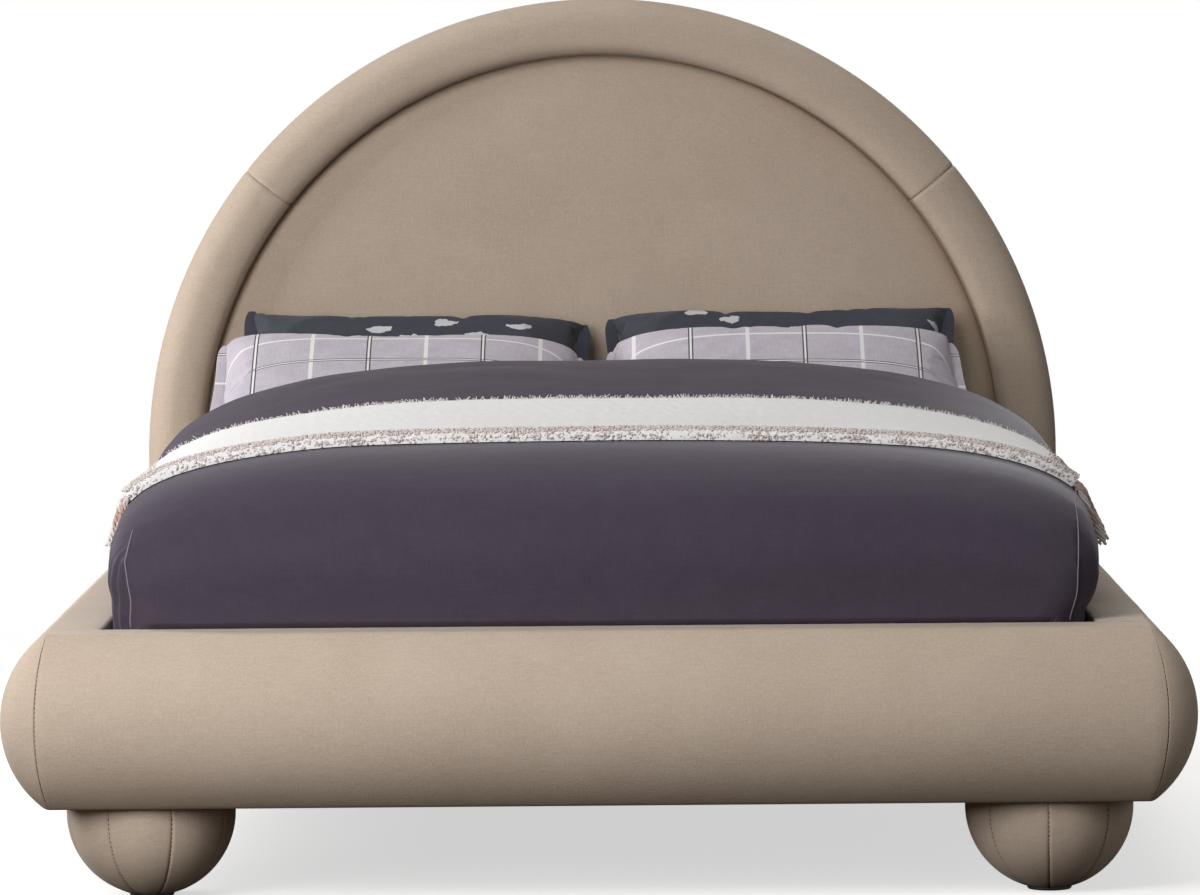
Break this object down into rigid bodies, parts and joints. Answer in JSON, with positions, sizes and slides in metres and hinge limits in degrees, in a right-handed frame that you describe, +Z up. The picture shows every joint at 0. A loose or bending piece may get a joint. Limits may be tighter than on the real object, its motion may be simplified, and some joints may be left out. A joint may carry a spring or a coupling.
{
  "type": "upholstered bed",
  "caption": "Queen-size upholstered bed with an arched headboard, bulging velvet rails and ball feet, dressed with a mattress, duvet, fringed throw and pillows.",
  "frame": {"origin": "on the floor, at the centre of the bed's outer box", "axes": "+Z up, +Y from the foot to the headboard, +X to the right of someone who looks at the foot end"},
  "size_m": [1.854, 2.34, 1.4168],
  "materials": {
    "velvet": "matte",
    "backing_cloth": "matte",
    "plywood": "satin",
    "pine": "satin",
    "zinc_steel": "satin",
    "black_metal": "satin",
    "black_plastic": "matte",
    "webbing": "matte",
    "ticking": "matte",
    "duvet_cotton": "satin",
    "throw_fleece": "matte",
    "pillow_slate": "matte",
    "pillow_lilac": "matte"
  },
  "bodies": {
    "frame": {"headboard_face": "plywood", "headboard_frame": "pine", "headboard_panel": "velvet", "headboard_border": "velvet", "headboard_back": "backing_cloth", "rail_left_frame": "pine", "rail_left_cover": "velvet", "rail_right_frame": "pine", "rail_right_cover": "velvet", "footboard_frame": "pine", "footboard_cover": "velvet", "ledger_left": "pine", "ledger_right": "pine", "ledger_screws": "zinc_steel", "slats": "plywood", "slat_straps": "webbing", "slat_screws": "zinc_steel", "center_beam": "pine", "beam_bracket_foot": "zinc_steel", "beam_bracket_head": "zinc_steel", "beam_bracket_screws": "zinc_steel", "center_leg_1": "black_metal", "center_leg_2": "black_metal", "center_leg_3": "black_metal", "corner_bracket_front_left": "zinc_steel", "corner_bracket_front_right": "zinc_steel", "corner_bracket_rear_left": "zinc_steel", "corner_bracket_rear_right": "zinc_steel", "corner_block_front_left": "plywood", "corner_block_front_right": "plywood", "corner_block_rear_left": "plywood", "corner_block_rear_right": "plywood", "foot_core_front_left": "plywood", "foot_core_front_right": "plywood", "foot_core_rear_left": "plywood", "foot_core_rear_right": "plywood", "foot_cover_front_left": "velvet", "foot_cover_front_right": "velvet", "foot_cover_rear_left": "velvet", "foot_cover_rear_right": "velvet", "leg_screws": "zinc_steel", "bracket_bolts": "zinc_steel", "foot_bolts": "zinc_steel", "foot_glides": "black_plastic"},
    "mattress": {"mattress": "ticking", "duvet": "duvet_cotton", "throw": "throw_fleece", "throw_tassels": "throw_fleece"},
    "pillow_back_left": {"pillow_back_left": "pillow_slate"},
    "pillow_back_right": {"pillow_back_right": "pillow_slate"},
    "pillow_front_left": {"pillow_front_left": "pillow_lilac"},
    "pillow_front_right": {"pillow_front_right": "pillow_lilac"},
    "leg_glide_1": {"leg_glide_1": "black_plastic"},
    "leg_glide_2": {"leg_glide_2": "black_plastic"},
    "leg_glide_3": {"leg_glide_3": "black_plastic"}
  },
  "joints": [
    {"name": "mattress_lift", "type": "slide", "parent": "frame", "child": "mattress", "axis": [0, 0, 1], "range_m": [0, 0.45]},
    {"name": "pillow_back_left_lift", "type": "slide", "parent": "mattress", "child": "pillow_back_left", "axis": [0, 0, 1], "range_m": [0, 0.35]},
    {"name": "pillow_front_left_lift", "type": "slide", "parent": "pillow_back_left", "child": "pillow_front_left", "axis": [0, 0, 1], "range_m": [0, 0.3]},
    {"name": "pillow_back_right_lift", "type": "slide", "parent": "mattress", "child": "pillow_back_right", "axis": [0, 0, 1], "range_m": [0, 0.35]},
    {"name": "pillow_front_right_lift", "type": "slide", "parent": "pillow_back_right", "child": "pillow_front_right", "axis": [0, 0, 1], "range_m": [0, 0.3]},
    {"name": "leg_glide_1_screw", "type": "slide", "parent": "frame", "child": "leg_glide_1", "axis": [0, 0, -1], "range_m": [0, 0.015]},
    {"name": "leg_glide_2_screw", "type": "slide", "parent": "frame", "child": "leg_glide_2", "axis": [0, 0, -1], "range_m": [0, 0.015]},
    {"name": "leg_glide_3_screw", "type": "slide", "parent": "frame", "child": "leg_glide_3", "axis": [0, 0, -1], "range_m": [0, 0.015]}
  ]
}
